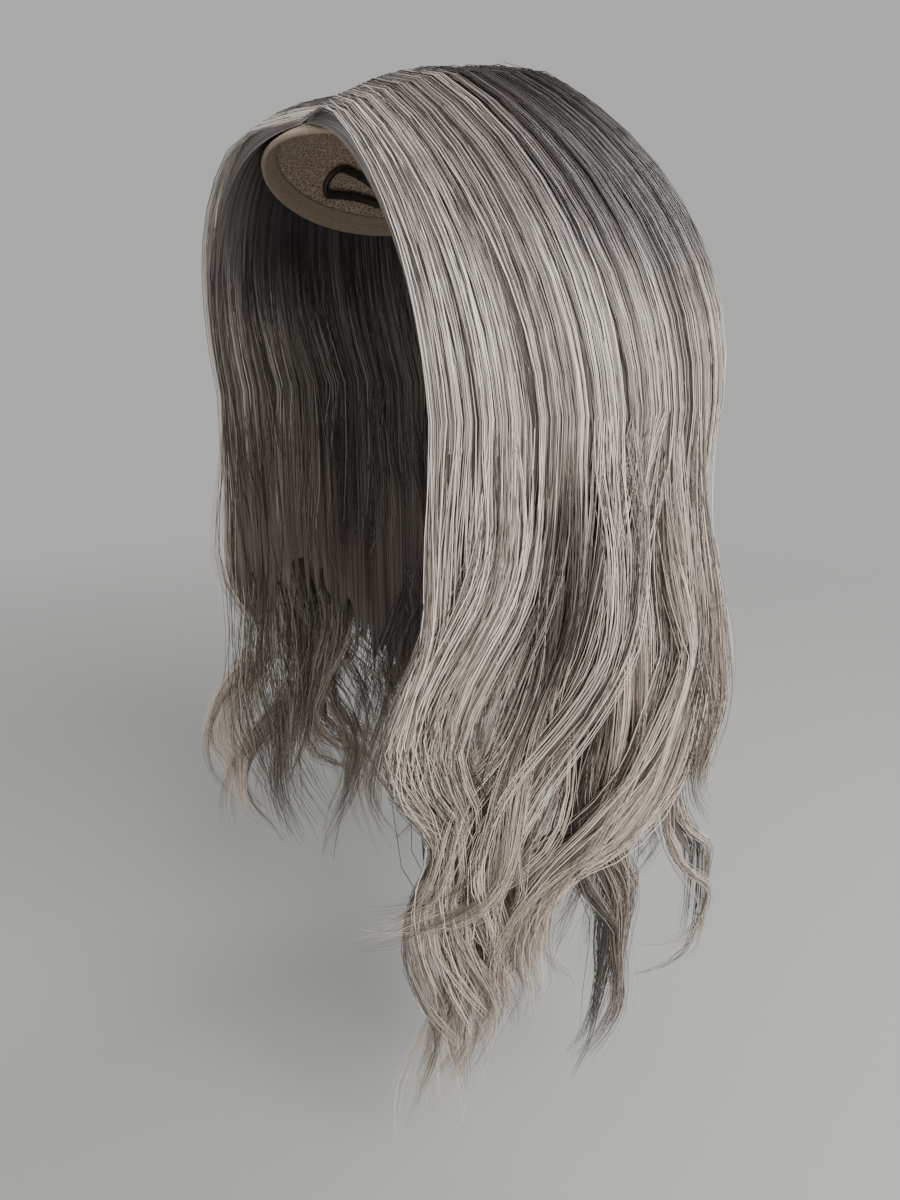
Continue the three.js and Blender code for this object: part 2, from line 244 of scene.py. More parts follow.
def tape_mesh():
    turn = np.linspace(0, 2 * math.pi, TAPE_SAMPLES, endpoint=False)
    low = -TAPE_OVER
    high = BASE_WALL + TAPE_OVER
    edge = TAPE_WIDTH - TAPE_FOLD
    turn_in, turn_down = TAPE_TURN
    section = (
        (TAPE_WIDTH, high - TAPE_EDGE), (edge, high), (TAPE_FOLD, high), (-turn_in, high - turn_down),
        (-TAPE_FOLD, BASE_WALL / 2),
        (-turn_in, low + turn_down), (TAPE_FOLD, low), (edge, low), (TAPE_WIDTH, low + TAPE_EDGE),
    )
    rings = []
    for inset, height in section:
        direction = crown_direction(*base_plan(1.0, turn, inset))
        rings.append(over_crown(direction, np.full(turn.shape, height)))
    return closed_mesh("rim_tape", np.concatenate(rings), ring_faces(len(rings), TAPE_SAMPLES, True))


def add_bump(tree, shader, height, strength, distance):
    bump = tree.nodes.new("ShaderNodeBump")
    bump.inputs["Strength"].default_value = strength
    bump.inputs["Distance"].default_value = distance
    tree.links.new(height, bump.inputs["Height"])
    tree.links.new(bump.outputs["Normal"], shader.inputs["Normal"])
    return bump


def net_material():
    material, tree, shader = new_material("beige_net")
    place = tree.nodes.new("ShaderNodeTexCoord")
    net = tree.nodes.new("ShaderNodeTexVoronoi")
    net.feature = "DISTANCE_TO_EDGE"
    net.inputs["Scale"].default_value = NET_CELLS
    tree.links.new(place.outputs["Object"], net.inputs["Vector"])
    stops = tuple(zip(NET_THREAD_EDGES, (NET_THREAD, NET_HOLE)))
    colour = ramp_node(tree, net.outputs["Distance"], stops)
    tree.links.new(colour, shader.inputs["Base Color"])
    shader.inputs["Roughness"].default_value = NET_ROUGHNESS
    bump = add_bump(tree, shader, net.outputs["Distance"], *NET_BUMP)
    bump.invert = True
    return material


def tape_material():
    material, tree, shader = new_material("binding_tape")
    place = tree.nodes.new("ShaderNodeTexCoord")
    weave = tree.nodes.new("ShaderNodeTexNoise")
    weave.inputs["Scale"].default_value = TAPE_WEAVE_SCALE
    weave.inputs["Detail"].default_value = TAPE_WEAVE_DETAIL
    tree.links.new(place.outputs["Object"], weave.inputs["Vector"])
    colour = ramp_node(tree, weave.outputs["Fac"], TAPE_STOPS)
    tree.links.new(colour, shader.inputs["Base Color"])
    shader.inputs["Roughness"].default_value = TAPE_ROUGHNESS
    add_bump(tree, shader, weave.outputs["Fac"], *TAPE_BUMP)
    return material


def thread_material():
    material, tree, shader = new_material("sewing_thread")
    shader.inputs["Base Color"].default_value = THREAD_COLOUR
    shader.inputs["Roughness"].default_value = THREAD_ROUGHNESS
    return material


def stitch_tree():
    tree = bpy.data.node_groups.new("sewn_stitches", "GeometryNodeTree")
    face = tree.interface
    face.new_socket("Places", in_out="INPUT", socket_type="NodeSocketGeometry")
    face.new_socket("Length", in_out="INPUT", socket_type="NodeSocketFloat")
    face.new_socket("Radius", in_out="INPUT", socket_type="NodeSocketFloat")
    face.new_socket("Thread", in_out="INPUT", socket_type="NodeSocketMaterial")
    face.new_socket("Stitches", in_out="OUTPUT", socket_type="NodeSocketGeometry")
    node, link = tree.nodes.new, tree.links.new
    given, result = node("NodeGroupInput"), node("NodeGroupOutput")
    spots = node("GeometryNodeMeshToPoints")
    link(given.outputs["Places"], spots.inputs["Mesh"])
    stitch = node("GeometryNodeMeshCylinder")
    stitch.inputs["Vertices"].default_value = STITCH_SIDES
    link(given.outputs["Radius"], stitch.inputs["Radius"])
    link(given.outputs["Length"], stitch.inputs["Depth"])
    run = node("GeometryNodeInputNamedAttribute")
    run.data_type = "FLOAT_VECTOR"
    run.inputs["Name"].default_value = "run"
    turn = node("FunctionNodeAlignRotationToVector")
    turn.axis = "Z"
    link(run.outputs["Attribute"], turn.inputs["Vector"])
    sewn = node("GeometryNodeInstanceOnPoints")
    link(spots.outputs["Points"], sewn.inputs["Points"])
    link(stitch.outputs["Mesh"], sewn.inputs["Instance"])
    link(turn.outputs["Rotation"], sewn.inputs["Rotation"])
    whole = node("GeometryNodeRealizeInstances")
    link(sewn.outputs["Instances"], whole.inputs["Geometry"])
    finish = node("GeometryNodeSetMaterial")
    link(whole.outputs["Geometry"], finish.inputs["Geometry"])
    link(given.outputs["Thread"], finish.inputs["Material"])
    link(finish.outputs["Geometry"], result.inputs["Stitches"])
    return tree


def set_inputs(modifier, values):
    for item in modifier.node_group.interface.items_tree:
        if item.in_out == "INPUT" and item.name in values:
            modifier[item.identifier] = values[item.name]


def made_piece(name, start_mesh, tree, values):
    piece = new_object(name, start_mesh)
    modifier = piece.modifiers.new(tree.name, "NODES")
    modifier.node_group = tree
    set_inputs(modifier, values)
    made = bpy.data.meshes.new_from_object(piece.evaluated_get(bpy.context.evaluated_depsgraph_get()))
    piece.modifiers.remove(modifier)
    piece.data = made
    made.name = name
    bpy.data.meshes.remove(start_mesh)
    return piece


def stitch_places():
    turn = np.linspace(0, 2 * math.pi, STITCH_COUNT, endpoint=False)
    step = math.pi / STITCH_COUNT
    spots, runs = [], []
    for height in (-TAPE_OVER, BASE_WALL + TAPE_OVER):
        ends = []
        for angle in (turn - step, turn, turn + step):
            direction = crown_direction(*base_plan(1.0, angle, TAPE_WIDTH / 2))
            ends.append(over_crown(direction, np.full(turn.shape, height)))
        spots.append(ends[1])
        runs.append(ends[2] - ends[0])
    mesh = bpy.data.meshes.new("stitch_places")
    mesh.from_pydata((np.concatenate(spots) * MM).tolist(), [], [])
    runs = np.concatenate(runs).astype(np.float32)
    mesh.attributes.new("run", "FLOAT_VECTOR", "POINT").data.foreach_set("vector", runs.reshape(-1))
    return mesh


lace_base = new_object("lace_base", base_mesh())
lace_base.data.materials.append(net_material())
finish_piece(lace_base, "lace_base", "base_cap")
rim_tape = new_object("rim_tape", tape_mesh())
rim_tape.data.materials.append(tape_material())
finish_piece(rim_tape, "lace_base", "base_cap")
rim_stitches = made_piece("rim_stitches", stitch_places(), stitch_tree(), {
    "Length": STITCH_LENGTH * MM, "Radius": STITCH_RADIUS * MM, "Thread": thread_material(),
})
finish_piece(rim_stitches, "lace_base", "base_cap")

# Snap clips: four small teardrop frames of lacquered spring steel, sewn under the base.
# They grip the wearer's own hair, and follow the curve of the net above them.
CLIP_WIDE_RADIUS = 6.0
CLIP_NARROW_RADIUS = 3.2
CLIP_LENGTH = 34.0
CLIP_FRAME = 2.4
CLIP_THICK = 1.4
CLIP_GAP = 0.55
CLIP_ROUND = 0.35
CLIP_ARC_STEPS = 20
CLIP_SIDE_STEPS = 10
CLIPS = (
    dict(name="front", x=0.0, y=-34.0, turn=0),
    dict(name="left", x=48.0, y=12.0, turn=90),
    dict(name="right", x=-48.0, y=12.0, turn=90),
    dict(name="back", x=0.0, y=62.0, turn=180),
)
LACQUER_STOPS = ((0.35, (0.045, 0.036, 0.031)), (0.65, (0.085, 0.068, 0.058)))
LACQUER_CLOUD_SCALE = 420
LACQUER_CLOUD_DETAIL = 4
LACQUER_METAL = 0.4
LACQUER_ROUGHNESS = 0.34
LACQUER_BUMP = (0.12, 0.0001)


def teardrop(inset):
    wide_x = -CLIP_LENGTH / 2 + CLIP_WIDE_RADIUS
    narrow_x = CLIP_LENGTH / 2 - CLIP_NARROW_RADIUS
    lean = math.acos((CLIP_WIDE_RADIUS - CLIP_NARROW_RADIUS) / (narrow_x - wide_x))
    wide_turn = np.linspace(lean, 2 * math.pi - lean, CLIP_ARC_STEPS)
    narrow_turn = np.linspace(-lean, lean, CLIP_ARC_STEPS)
    wide_way = np.stack([np.cos(wide_turn), np.sin(wide_turn)], -1)
    narrow_way = np.stack([np.cos(narrow_turn), np.sin(narrow_turn)], -1)
    wide = (CLIP_WIDE_RADIUS - inset) * wide_way + [wide_x, 0]
    narrow = (CLIP_NARROW_RADIUS - inset) * narrow_way + [narrow_x, 0]
    share = np.linspace(0, 1, CLIP_SIDE_STEPS + 2)[1:-1, None]
    lower = wide[-1] + (narrow[0] - wide[-1]) * share
    upper = narrow[-1] + (wide[0] - narrow[-1]) * share
    return np.concatenate([wide, lower, narrow, upper])


def clip_mesh(row):
    angle = math.radians(row["turn"])
    inner = CLIP_FRAME - CLIP_ROUND
    top = CLIP_THICK - CLIP_ROUND
    section = (
        (CLIP_ROUND, 0), (inner, 0), (CLIP_FRAME, CLIP_ROUND), (CLIP_FRAME, top),
        (inner, CLIP_THICK), (CLIP_ROUND, CLIP_THICK), (0, top), (0, CLIP_ROUND),
    )
    rings = []
    for inset, height in section:
        along, across = teardrop(inset).T
        x = row["x"] + along * math.cos(angle) - across * math.sin(angle)
        y = row["y"] + along * math.sin(angle) + across * math.cos(angle)
        depth = CLIP_GAP + CLIP_THICK - height
        rings.append(over_crown(crown_direction(x, y), np.full(x.shape, -depth)))
    faces = ring_faces(len(rings), len(rings[0]), True)
    return closed_mesh("snap_clip_" + row["name"], np.concatenate(rings), faces)


def lacquer_material():
    material, tree, shader = new_material("brown_lacquer")
    place = tree.nodes.new("ShaderNodeTexCoord")
    cloud = tree.nodes.new("ShaderNodeTexNoise")
    cloud.inputs["Scale"].default_value = LACQUER_CLOUD_SCALE
    cloud.inputs["Detail"].default_value = LACQUER_CLOUD_DETAIL
    tree.links.new(place.outputs["Object"], cloud.inputs["Vector"])
    colour = ramp_node(tree, cloud.outputs["Fac"], LACQUER_STOPS)
    tree.links.new(colour, shader.inputs["Base Color"])
    shader.inputs["Metallic"].default_value = LACQUER_METAL
    shader.inputs["Roughness"].default_value = LACQUER_ROUGHNESS
    add_bump(tree, shader, cloud.outputs["Fac"], *LACQUER_BUMP)
    return material


lacquer = lacquer_material()
for row in CLIPS:
    clip = new_object("snap_clip_" + row["name"], clip_mesh(row))
    clip.data.materials.append(lacquer)
    finish_piece(clip, "clip_steel", "clip_" + row["name"])

# Hair: machine-dyed strands, knotted to the base along the parting and combed to both sides.
# They lie close over the crown to ear height, and gather below it into large soft waves with loose tips.
# Under the loose strands, each half has a dense body of hair, which keeps the light from showing through.
SEED = 7
PARTING_HALF_GAP = 1.0
PARTING_FRONT = -54.0
PARTING_BACK = 40.0
COMB_ACROSS = 0.8
COMB_ALONG = 0.4
COMB_HEIGHT = 0.6
ROOT_OUTER = 3.4
ROOT_INNER = 1.7
ROOT_RISE = 0.28
SWELL_FROM = 0.2
SWELL_TO = 0.9
WALL_INNER = 2.8
WALL_INNER_SHARE = 0.3
LOCK_START_DROP = 108.0
ARC_SHARE = 0.45
LIFT_AZIMUTHS = (40, 75, 105, 135, 180)
BACK_SEAM = 185.0

# Locks that follow a rule: how far their tips, sway and swing differ from one to the next.
RULED_BENDS = 6
RULED_SETTLED = 2
RULED_FIRST_DROP = 138
RULED_LAST_AZIMUTH = 178
RULED_STARTS = {"ruled": 0.75, "under": 0.35}
RULED_FEEDS = {"ruled": 8, "under": 14}
TIP_DIFFERS = 18
TIP_TURN = 3
SWAY_TURN = 1.7
SWING = 6
SWING_TURN = 1.9
SWING_STEP = 2
TIP_TUCK = 14
CURVE_SAMPLES = 160
CURVE_STEPS = 24

# Wisps: strands of a lock draw together into wisps below the ears, which sway and wave as one.
# Falls run from 0 where the lock starts to 1 at its tip.
STRANDS_PER_WISP = 15
FEWEST_WISPS = 5
GATHER_FROM = (104.0, 9.0)
GATHER_TO = (190.0, 18.0)
WISP_DRAW = 0.45
WISP_DRAW_FROM = 0.4
WISP_SWING = 1.8
WISP_SWAY = 3.6
WISP_SWAY_MOST = 6
WISP_SWAY_TURN = 6.0
WISP_LENGTHS = (0.85, 1.02)
WISP_POINT = 0.6
WISP_POINT_FALLS = (0.5, 1.0)
WAVE_LENGTH = 112.0
WAVE_FALLS = (0.0, 0.2, 0.6, 0.8, 1.0)
WAVE_SIZES = (0.0, 0.0, 1.0, 1.0, 0.5)
WAVE_DIFFERS = 0.3
WAVE_DRIFT = 0.9
WAVE_DRIFT_DIFFERS = 0.5
OUTWARD_SHARE = 0.5
LOCK_GATHER = 0.25
LOCK_GATHER_FALLS = (0.1, 0.45)
LOCK_NARROW = 0.2
LOCK_NARROW_FALLS = (0.55, 1.0)
LOCK_THIN = 0.25
LOCK_THIN_FALLS = (0.5, 1.0)

# Strands: long ones start at the parting, the others part of the way down under them.
LONG_ARC_POINTS = 12
LATE_ARC_POINTS = 5
LONG_DEPTHS = (0.86, 1.06)
LONG_ROOT_SHARE = 0.7
LONG_LATEST_ROOT = 0.3
STRAND_KINDS = {
    "own": dict(wave_share=0.26, long_share=0.45, fall_points=21, spread=0.12,
                first_depth=0.7, depths=(0.45, 1.02), starts=(0.45, 0.85)),
    "ruled": dict(wave_share=0.15, long_share=0.45, fall_points=16, spread=0.17,
                  first_depth=0.7, depths=(0.45, 1.02), starts=(0.45, 0.85)),
    "inner": dict(wave_share=0.2, long_share=0.0, fall_points=20, spread=0.12,
                  first_depth=0.5, depths=(0.1, 0.6), starts=(0.5, 0.85)),
    "under": dict(wave_share=0.12, long_share=0.0, fall_points=11, spread=0.5,
                  first_depth=0.1, depths=(-0.12, 0.3), starts=(0.5, 0.85)),
}
STRAND_RADII = (0.10, 0.20)
STRAND_SIDES = 3
STRAND_CHART_WIDTH = 0.015
STRAND_LENGTHS = (0.86, 1.02)
STRAND_LENGTH_LIMITS = (0.5, 1.0)
STRAND_PROUD = 0.22
STRAND_ORDER = 0.12
STRAND_ROOT_SHIFT = 2.2
STRAND_FALL_FROM = 0.02
TAPER_PLACES = (0, 0.1, 0.8, 1)
TAPER_SIZES = (0.6, 1, 0.95, 0.25)
STRAY_FALLS = (0.08, 0.9)
STRAY_MOST = 1.4
STRAY_TURN = 7.0
LOOSE_SHARE = 0.08
LOOSE_SIZE = 3.8
FRIZZ_SIZE = 0.35
FRIZZ_TURN = 24.0
FULL_TURN = 6.28

# Colour of the strands: a tone from dark to cream for each, darker near the roots behind the front.
# Falls run from 0 at the root to 1 at the tip.
WISP_TONE_DIFFERS = 0.10
WISP_TONES = (-0.38, 0, 0.42)
WISP_TONE_ODDS = (0.18, 0.56, 0.26)
WISP_TONE_SHARE = 0.7
STRAND_TONE_DIFFERS = 0.22
# One edge of each lock is painted lighter and the other darker: a painted highlight along the lock's edge.
EDGE_PAINTED_HIGHLIGHT = 0.1
# Strands deep in a lock are painted darker and proud ones lighter: painted shade by depth.
DEPTH_PAINTED_SHADE = 0.1
TIP_DARK = 0.05
TIP_DARK_FALLS = (0.75, 1.0)
TONE_LIMITS = (0.02, 0.97)
ROOT_DARK = (0.14, 0.72)
ROOT_DARK_AZIMUTHS = (57, 112)
ROOT_DARK_FALLS = (0.24, 0.39)
# Falls over which some locks are painted darker: painted shade in the gaps between locks.
SHADED_FALLS = (0.46, 0.54, 0.64, 0.76)
SHADED_SIZES = (0, 1, 1, 0)
TONE_STOPS = (
    (0.0, (0.045, 0.035, 0.030)), (0.3, (0.145, 0.122, 0.108)), (0.55, (0.36, 0.312, 0.276)),
    (0.8, (0.70, 0.625, 0.555)), (1.0, (0.97, 0.895, 0.805)),
)
HUE_STOPS = (
    (0.0, (0.86, 0.87, 0.90)), (0.3, (0.96, 0.97, 0.99)), (0.55, (1, 0.99, 0.97)), (1.0, (0.98, 0.91, 0.84)),
)
HAIR_ROUGHNESS = 0.35
HAIR_REFRACTION = 1.55

# Dense body of hair under the strands: a wall to its ragged hem, and a core in each lock below it.
CORE_SEAM = 181.0
CORE_COLUMNS = 120
CORE_ROWS = 24
CORE_HANG_ROWS = 6
CORE_HANG_SHARE = 0.2
CORE_HEM_AZIMUTHS = (100, 128, 150, 180)
CORE_HEM_DROPS = (204, 272, 258, 240)
CORE_HEM_RAG = 11.0
CORE_HEM_LONGEST = 13.0
CORE_HEM_CLOSE = 0.94
CORE_DEPTHS = (0.86, 0.12)
CORE_UNEVEN = 0.025
CORE_FRONT_INSET = 0.6
CORE_FRONT_TAPER = 9.0
CORE_SIDES = 12
CORE_RINGS = 26
CORE_BEGIN = 0.1
CORE_END = 0.66
CORE_SHARE = 0.42
CORE_LEAST = 0.02
CORE_FROM = 150.0
CORE_FULL = 215.0
# The dense body's tones run darker than the strands over it: painted shade of the hair deep inside.
CORE_STOPS = (
    (0.46, (0.050, 0.040, 0.034)), (0.57, (0.145, 0.122, 0.108)), (0.68, (0.33, 0.290, 0.262)),
    (0.84, (0.60, 0.540, 0.490)),
)
# Down the dense body: darker at the roots with the root colour, full tone at ear height, and darker below as
# painted shade.
CORE_SHADE_STOPS = (
    (0.0, (0.66, 0.67, 0.70)), (0.2, (0.84, 0.84, 0.86)), (0.4, (1, 1, 1)), (0.6, (0.48, 0.44, 0.42)),
)
CORE_ROOT_STOPS = ((0.26, (0.95, 0.95, 0.96)), (0.41, (0.25, 0.26, 0.285)))
CORE_FINE_STREAKS = (1000, 5)
CORE_WISP_STREAKS = (120, 2.2)
CORE_WISP_SHARE = 0.35
CORE_ROUGHNESS = 0.45
CORE_BUMP = (0.6, 0.0005)
STREAK_DETAIL = 2
STREAK_ROUGHNESS = 0.6
CHART_MM = 320.0
rng = np.random.default_rng(SEED)

# The locks that show bends of their own: each bend has an azimuth from the face,
# a drop below the crown and a reach from the upright axis through it.
LEFT_LOCKS = (
    dict(piece="front", feed=(45, 60), width=28, thick=12, strands=290, tone=0.70, bends=(
        (52, 130, 97), (52, 163, 99), (50, 183, 103), (45, 201, 109), (42, 216, 112), (46, 236, 106),
        (51, 255, 101), (51, 279, 97), (48, 305, 93), (47, 338, 88), (50, 376, 83), (43, 414, 79))),
    dict(piece="front", feed=(53, 71), width=32, thick=13, strands=290, tone=0.52, bends=(
        (64, 130, 101), (59, 160, 105), (52, 185, 110), (47, 205, 113), (47, 222, 111), (51, 244, 105),
        (56, 268, 100), (55, 296, 95), (53, 327, 91), (55, 362, 86), (50, 392, 81))),
    dict(piece="front", feed=(66, 82), width=28, thick=12, strands=240, tone=0.66, shaded=0.52, bends=(
        (74, 135, 101), (71, 165, 102), (67, 196, 105), (64, 221, 108), (58, 243, 108),
        (51, 263, 106), (43, 278, 103), (34, 289, 101), (26, 290, 101))),
    dict(piece="side", feed=(75, 91), width=26, thick=13, strands=220, tone=0.61, shaded=0.32, bends=(
        (89, 128, 110), (83, 158, 112), (77, 184, 114), (70, 203, 114), (63, 225, 112),
        (58, 250, 108), (55, 279, 102), (57, 310, 97), (61, 342, 92), (57, 372, 87))),
    dict(piece="side", feed=(85, 101), width=25, thick=12, strands=210, tone=0.63, bends=(
        (84, 132, 104), (83, 158, 106), (85, 180, 110), (85, 202, 112), (82, 224, 112),
        (77, 244, 110), (72, 270, 106), (71, 303, 101), (76, 337, 95))),
    dict(piece="side", feed=(96, 114), width=32, thick=14, strands=270, tone=0.75, bends=(
        (97, 129, 114), (97, 165, 118), (97, 191, 122), (91, 211, 124), (85, 232, 121),
        (77, 248, 116), (70, 265, 110), (66, 291, 104), (64, 322, 98), (62, 356, 92))),
    dict(piece="side", feed=(88, 108), width=24, thick=14, strands=270, tone=0.45, kind="inner", bends=(
        (92, 147, 104), (84, 192, 106), (79, 236, 107), (81, 266, 108),
        (88, 303, 108), (94, 340, 104), (94, 368, 97), (90, 390, 88))),
    dict(piece="back", feed=(104, 124), width=26, thick=11, strands=190, tone=0.59, bends=(
        (107, 131, 115), (104, 174, 122), (98, 212, 127), (91, 233, 132), (99, 256, 137))),
    dict(piece="back", feed=(102, 119), width=18, thick=9, strands=120, tone=0.46, kind="inner", bends=(
        (105, 146, 114), (101, 202, 119), (95, 251, 121), (106, 292, 127),
        (113, 322, 130), (104, 327, 128), (94, 322, 122), (89, 318, 118))),
)
# The far half's locks have lighter tones than the near half's: painted light on hair seen from its shaded
# inside.
RIGHT_LOCKS = (
    dict(piece="front", feed=(62, 76), width=28, thick=11, strands=210, tone=0.80, bends=(
        (67, 130, 91), (73, 190, 98), (86, 245, 108), (71, 285, 117), (74, 325, 112), (80, 345, 106))),
    dict(piece="front", feed=(71, 88), width=28, thick=11, strands=210, tone=0.78, bends=(
        (79, 130, 92), (87, 200, 99), (98, 262, 109), (77, 310, 115), (70, 335, 111))),
    dict(piece="front", feed=(83, 100), width=30, thick=12, strands=210, tone=0.70, bends=(
        (91, 130, 96), (100, 215, 102), (104, 272, 107), (80, 320, 111), (89, 357, 103))),
    dict(piece="front", feed=(95, 114), width=30, thick=13, strands=210, tone=0.60, bends=(
        (103, 135, 102), (104, 215, 103), (106, 275, 101), (109, 335, 99), (103, 382, 97))),
)
LOCK_GROUPS = (
    dict(sign=1, piece="back", count=5, first=120, last=174, first_reach=120, last_reach=128,
         first_tip=262, last_tip=372, sway=10, width=34, thick=15, strands=170, tone=0.52, kind="ruled"),
    dict(sign=-1, piece="back", count=6, first=113, last=174, first_reach=112, last_reach=128,
         first_tip=366, last_tip=366, sway=10, width=34, thick=15, strands=170, tone=0.52, kind="ruled"),
    # The under locks have a dark tone: painted shade under and between the outer locks.
    dict(sign=1, piece="under", count=7, first=60, last=175, first_reach=97, last_reach=115,
         first_tip=334, last_tip=300, sway=6, width=44, thick=10, strands=138, tone=0.32, kind="under"),
    dict(sign=-1, piece="under", count=6, first=72, last=175, first_reach=92, last_reach=115,
         first_tip=330, last_tip=330, sway=6, width=44, thick=10, strands=138, tone=0.32, kind="under"),
)
SIDES = (
    dict(name="left", sign=1, front=45.0, crown_lifts=(14, 15, 15, 22, 27), ear_lifts=(12, 20, 28, 34, 29),
         locks=LEFT_LOCKS),
    dict(name="right", sign=-1, front=62.0, crown_lifts=(9, 11, 14, 22, 27), ear_lifts=(5, 8, 17, 28, 29),
         locks=RIGHT_LOCKS),
)


def smooth(value, low, high):
    t = np.clip((value - low) / (high - low), 0, 1)
    return t * t * (3 - 2 * t)


def lift_at(azimuth, lifts):
    return np.interp(azimuth, LIFT_AZIMUTHS, lifts)


def crown_reach(azimuth):
    angle = np.radians(azimuth)
    return 1 / np.hypot(np.sin(angle) / CROWN_FORM[0], np.cos(angle) / CROWN_FORM[1])


def ear_direction(azimuth, sign):
    angle = np.radians(azimuth)
    way = np.stack([sign * np.sin(angle) / CROWN_FORM[0], -np.cos(angle) / CROWN_FORM[1], 0 * angle], -1)
    return way / np.linalg.norm(way, axis=-1, keepdims=True)


def combed_points(azimuth, root_azimuth, t, depth, side):
    share = np.clip((root_azimuth - side["front"]) / (180 - side["front"]), 0, 1)
    root_y = PARTING_FRONT + (PARTING_BACK - PARTING_FRONT) * share
    root = crown_direction(side["sign"] * PARTING_HALF_GAP + 0 * root_y, root_y)[:, None]
    ear = ear_direction(azimuth, side["sign"])[:, None]
    along = root[..., 1] + COMB_ALONG * (ear[..., 1] - root[..., 1])
    turn = np.stack([COMB_ACROSS * ear[..., 0], along, np.full(along.shape, COMB_HEIGHT)], -1)
    turn /= np.linalg.norm(turn, axis=-1, keepdims=True)
    s = t[..., None]
    direction = (1 - s) ** 2 * root + 2 * s * (1 - s) * turn + s**2 * ear
    direction /= np.linalg.norm(direction, axis=-1, keepdims=True)
    lift = lift_at(azimuth, side["ear_lifts"])[:, None]
    crown = lift_at(azimuth, side["crown_lifts"])[:, None]
    rise = smooth(t, 0, ROOT_RISE)
    outer = ROOT_OUTER + (crown + (lift - crown) * smooth(t, SWELL_FROM, SWELL_TO) - ROOT_OUTER) * rise
    thicker = WALL_INNER_SHARE * (lift - side["ear_lifts"][0]) * t
    inner = ROOT_INNER + (WALL_INNER + thicker - ROOT_INNER) * rise
    return over_crown(direction, inner + (outer - inner) * depth)


def ruled_lock(group, index, side):
    place = index / (group["count"] - 1)
    azimuth = group["first"] + (group["last"] - group["first"]) * place
    reach = group["first_reach"] + (group["last_reach"] - group["first_reach"]) * place
    way = 1 if index % 2 == 0 else -1
    tip = group["first_tip"] + (group["last_tip"] - group["first_tip"]) * place
    tip += TIP_DIFFERS * way * math.cos(TIP_TURN * index)
    lift = lift_at(azimuth, side["ear_lifts"])
    start_reach = crown_reach(azimuth) + lift * RULED_STARTS[group["kind"]]
    bends = []
    for fall in range(RULED_BENDS):
        share = fall / (RULED_BENDS - 1)
        settle = min(1, fall / RULED_SETTLED)
        sway = group["sway"] * way * settle * math.sin(SWAY_TURN * fall + index)
        swing = SWING * math.sin(SWING_TURN * fall + SWING_STEP * index)
        out = start_reach + (reach + swing - start_reach) * settle - TIP_TUCK * share**3
        drop = RULED_FIRST_DROP + (tip - RULED_FIRST_DROP) * share
        bends.append((min(azimuth + sway, RULED_LAST_AZIMUTH), drop, out))
    spread = RULED_FEEDS[group["kind"]]
    lock = {key: group[key] for key in ("piece", "width", "thick", "strands", "tone", "kind")}
    lock.update(feed=(azimuth - spread, min(azimuth + spread, BACK_SEAM)), bends=bends)
    return lock


def lock_curve(lock, side):
    table = np.array(lock["bends"], float)
    angle = np.radians(table[:, 0])
    drop, reach = table[:, 1], table[:, 2]
    points = np.stack([side["sign"] * reach * np.sin(angle), -reach * np.cos(angle), -drop], -1)
    points = np.vstack([points[0] * [1, 1, 0] - [0, 0, LOCK_START_DROP], points])
    ends = np.vstack([2 * points[0] - points[1], points, 2 * points[-1] - points[-2]])
    gaps = np.linalg.norm(np.diff(ends, axis=0), axis=1) ** 0.5
    pieces = []
    for i in range(1, len(ends) - 2):
        p0, p1, p2, p3 = ends[i - 1:i + 3]
        d0, d1, d2 = gaps[i - 1:i + 2]
        m1 = ((p1 - p0) / d0 - (p2 - p0) / (d0 + d1) + (p2 - p1) / d1) * d1
        m2 = ((p2 - p1) / d1 - (p3 - p1) / (d1 + d2) + (p3 - p2) / d2) * d1
        t = np.linspace(0, 1, CURVE_STEPS, endpoint=False)[:, None]
        pieces.append((2 * t**3 - 3 * t**2 + 1) * p1 + (t**3 - 2 * t**2 + t) * m1
                      + (3 * t**2 - 2 * t**3) * p2 + (t**3 - t**2) * m2)
    dense = np.vstack(pieces + [ends[-2][None]])
    run = np.concatenate([[0], np.cumsum(np.linalg.norm(np.diff(dense, axis=0), axis=1))])
    v = np.linspace(0, run[-1], CURVE_SAMPLES)
    centre = np.stack([np.interp(v, run, dense[:, k]) for k in range(3)], -1)
    along = np.gradient(centre, axis=0)
    along /= np.linalg.norm(along, axis=1, keepdims=True)
    out = centre * [1, 1, 0]
    out /= np.linalg.norm(out, axis=1, keepdims=True)
    across = side["sign"] * np.cross(out, along)
    across /= np.linalg.norm(across, axis=1, keepdims=True)
    return v / run[-1], centre, across, side["sign"] * np.cross(along, across)


def read_along(v, station, table):
    return np.stack([np.interp(v, station, table[:, k]) for k in range(3)], -1)


def turned(points, degrees):
    c, s = np.cos(np.radians(degrees)), np.sin(np.radians(degrees))
    x, y, z = np.moveaxis(points, -1, 0)
    return np.stack([c * x - s * y, s * x + c * y, z], -1)


